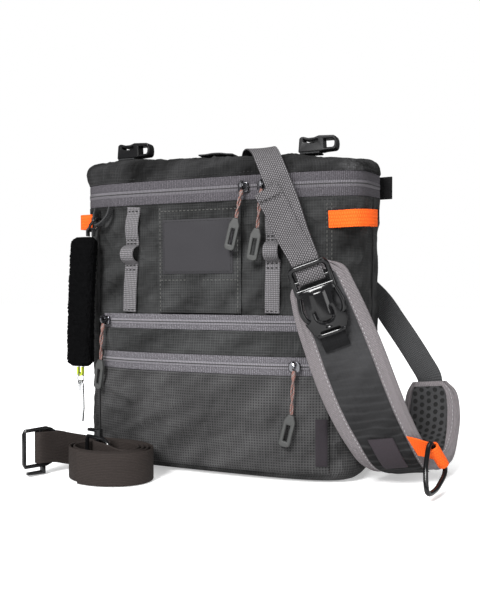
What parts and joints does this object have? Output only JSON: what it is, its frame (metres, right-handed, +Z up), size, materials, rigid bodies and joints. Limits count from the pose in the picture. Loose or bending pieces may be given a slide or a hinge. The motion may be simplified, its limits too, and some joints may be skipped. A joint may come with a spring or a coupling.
{
  "type": "chest pack",
  "caption": "Soft box-shaped chest pack with a zipped lid, front pockets, daisy chains, a padded shoulder strap with a net ring, a coiled waist belt and a hanging fly patch.",
  "frame": {"origin": "middle of the flat base of the bag, on the floor", "axes": "+X to the right along the front as the viewer sees it, +Y towards the back, +Z up; the front with the pockets faces -Y"},
  "size_m": [0.3208, 0.1697, 0.2752],
  "materials": {
    "charcoal": "coated woven cloth, matt",
    "ripstop": "ripstop cloth with a large grid, matt",
    "black": "black cloth, fleece and mesh, matt",
    "zip_grey": "woven zip tape, matt",
    "zip_dark": "zip coil, satin",
    "web_grey": "woven webbing, matt",
    "border_grey": "smooth binding cloth, matt",
    "orange": "orange webbing, matt",
    "belt_brown": "ribbed webbing, matt",
    "gloss": "moulded, glossy",
    "metal": "polished steel",
    "dark_metal": "painted slider, satin",
    "cord_pink": "braided cord with a fleck",
    "pull_grey": "moulded, matt",
    "label": "moulded patch, bare, satin",
    "lime": "soft lime tab, matt"
  },
  "bodies": {
    "pack": {"main_body": "charcoal", "lid": "charcoal", "main_zip_lower": "zip_grey", "main_zip_coil": "zip_dark", "main_zip_upper": "zip_grey", "lower_pocket": "ripstop", "pocket_strip": "charcoal", "mid_zip_tape": "zip_grey", "mid_zip_coil": "zip_dark", "low_zip_tape": "zip_grey", "low_zip_coil": "zip_dark", "centre_panel": "charcoal", "label_patch": "label", "corner_tab": "pull_grey", "chain_left": "web_grey", "chain_right": "web_grey", "gear_loop": "web_grey", "side_loop_left": "orange", "zip_tab_left": "black", "side_loop_right": "orange", "zip_tab_right": "black", "slider_main_left": "dark_metal", "pull_main_left": "pull_grey", "cord_main_left": "cord_pink", "slider_main_right": "dark_metal", "pull_main_right": "pull_grey", "cord_main_right": "cord_pink", "slider_mid": "dark_metal", "pull_mid": "pull_grey", "cord_mid": "cord_pink", "slider_low": "dark_metal", "pull_low": "pull_grey", "cord_low": "cord_pink", "clip_tab_left": "black", "lid_clip_left": "gloss", "clip_tab_right": "black", "lid_clip_right": "gloss", "lid_loop": "black", "fly_patch": "black", "patch_ring": "gloss", "patch_loop": "black", "nipper_tab": "lime", "nipper_ring": "metal", "nipper": "metal", "shoulder_pad": "border_grey", "pad_panel": "black", "pad_mesh": "black", "pad_patch": "belt_brown", "buckle_female": "gloss", "buckle_male": "gloss", "buckle_anchor": "black", "shoulder_webbing": "web_grey", "webbing_tail": "web_grey", "ring_tab": "orange", "rear_webbing": "web_grey", "belt": "belt_brown", "belt_hook_outer": "gloss", "belt_hook_inner": "gloss"},
    "net_ring": {"net_ring": "gloss"}
  },
  "joints": [
    {"name": "net_ring_swing", "type": "hinge", "parent": "pack", "child": "net_ring", "pos_m": [0.17954, -0.03557, 0.02788], "axis": [0.3314, 0.5457, -0.7697], "range_deg": [-160, 50]}
  ]
}
